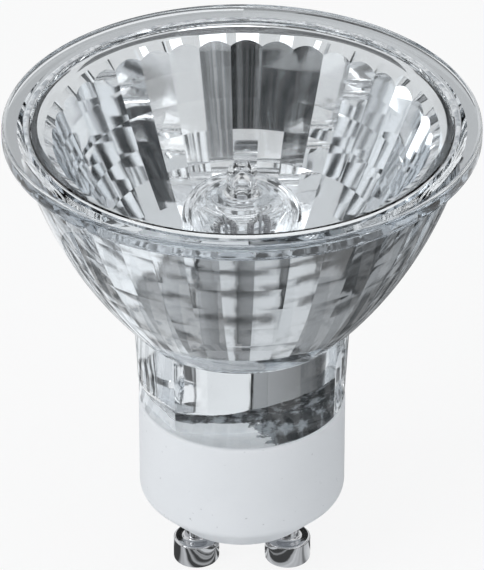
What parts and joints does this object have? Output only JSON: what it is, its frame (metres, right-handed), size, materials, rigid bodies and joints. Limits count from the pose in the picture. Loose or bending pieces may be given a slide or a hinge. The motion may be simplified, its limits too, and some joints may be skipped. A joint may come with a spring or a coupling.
{
  "type": "reflector spotlight bulb",
  "caption": "Mains halogen spotlight bulb: fluted mirror bowl of pressed glass behind a flat cover glass, clear neck, white ceramic base and headed twist-lock contact pins.",
  "frame": {"origin": "midway between the ends of the two contact pins, in the plane the bulb stands on", "axes": "+Z along the beam, from the pins to the cover glass; +X from the left pin to the right pin; -Y towards the viewer of the picture"},
  "size_m": [0.05, 0.05, 0.0556],
  "materials": {
    "reflector_glass": "clear pressed glass, mirrored in the flutes and the neck hole",
    "cover_glass": "clear and flat",
    "silicone": "greyish translucent bead",
    "quartz": "clear",
    "cement": "rough and matt",
    "ceramic": "smooth, soft sheen",
    "pin_metal": "bright nickel plate",
    "lead_metal": "drawn molybdenum wire and foil",
    "tungsten": "dull coiled wire"
  },
  "bodies": {
    "root": {"reflector": "reflector_glass", "cover_glass": "cover_glass", "cover_seal": "silicone", "capsule_envelope": "quartz", "bridge": "quartz", "base_cement": "cement", "ceramic_base": "ceramic", "contact_pin_left": "pin_metal", "contact_pin_right": "pin_metal", "foil_left": "lead_metal", "foil_right": "lead_metal", "inner_lead_left": "lead_metal", "inner_lead_right": "lead_metal", "outer_lead_left": "lead_metal", "outer_lead_right": "lead_metal", "hook_left": "lead_metal", "hook_middle": "lead_metal", "hook_right": "lead_metal", "filament": "tungsten"}
  },
  "joints": []
}
